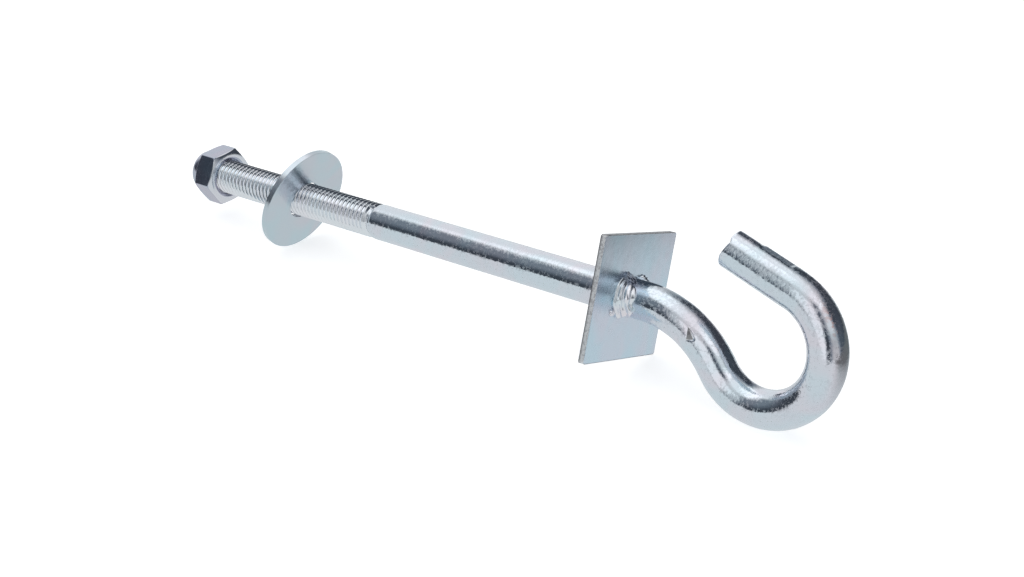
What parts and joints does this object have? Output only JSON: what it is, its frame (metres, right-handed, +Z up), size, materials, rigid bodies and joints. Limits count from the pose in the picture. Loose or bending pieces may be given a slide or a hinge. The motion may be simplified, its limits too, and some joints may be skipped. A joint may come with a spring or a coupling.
{
  "type": "screw hook",
  "caption": "Through-bolt swing hook: round bar with open round hook, square plate welded at its shoulder, machine thread, large washer and self-locking nut.",
  "frame": {"origin": "on the bar's axis, at the square plate's back face, which is the face that seats on the beam", "axes": "+X runs along the bar towards the hook and rises 2.6 degrees, +Z is up as the piece lies at rest"},
  "size_m": [0.2604, 0.0488, 0.054],
  "materials": {
    "zinc_bar": "bright zinc plating, glossy",
    "zinc_plate": "bright zinc plating, smooth",
    "zinc_weld": "zinc plating over rough weld",
    "zinc_washer": "bright zinc plating, glossy",
    "zinc_nut": "bright zinc plating, glossy",
    "nylon": "smooth"
  },
  "bodies": {
    "hook": {"hook_rod": "zinc_bar", "square_plate": "zinc_plate", "weld_bead": "zinc_weld"},
    "washer": {"washer": "zinc_washer"},
    "nut": {"nut": "zinc_nut", "nylon_ring": "nylon"}
  },
  "joints": [
    {"name": "washer_slide", "type": "slide", "parent": "hook", "child": "washer", "axis": [0.9989, 0, 0.0458], "range_m": [-0.029, 0.129]},
    {"name": "nut_turn", "type": "hinge", "parent": "hook", "child": "nut", "pos_m": [-0.17222, 0, -0.0079], "axis": [0.9989, 0, 0.0458], "continuous": true}
  ]
}
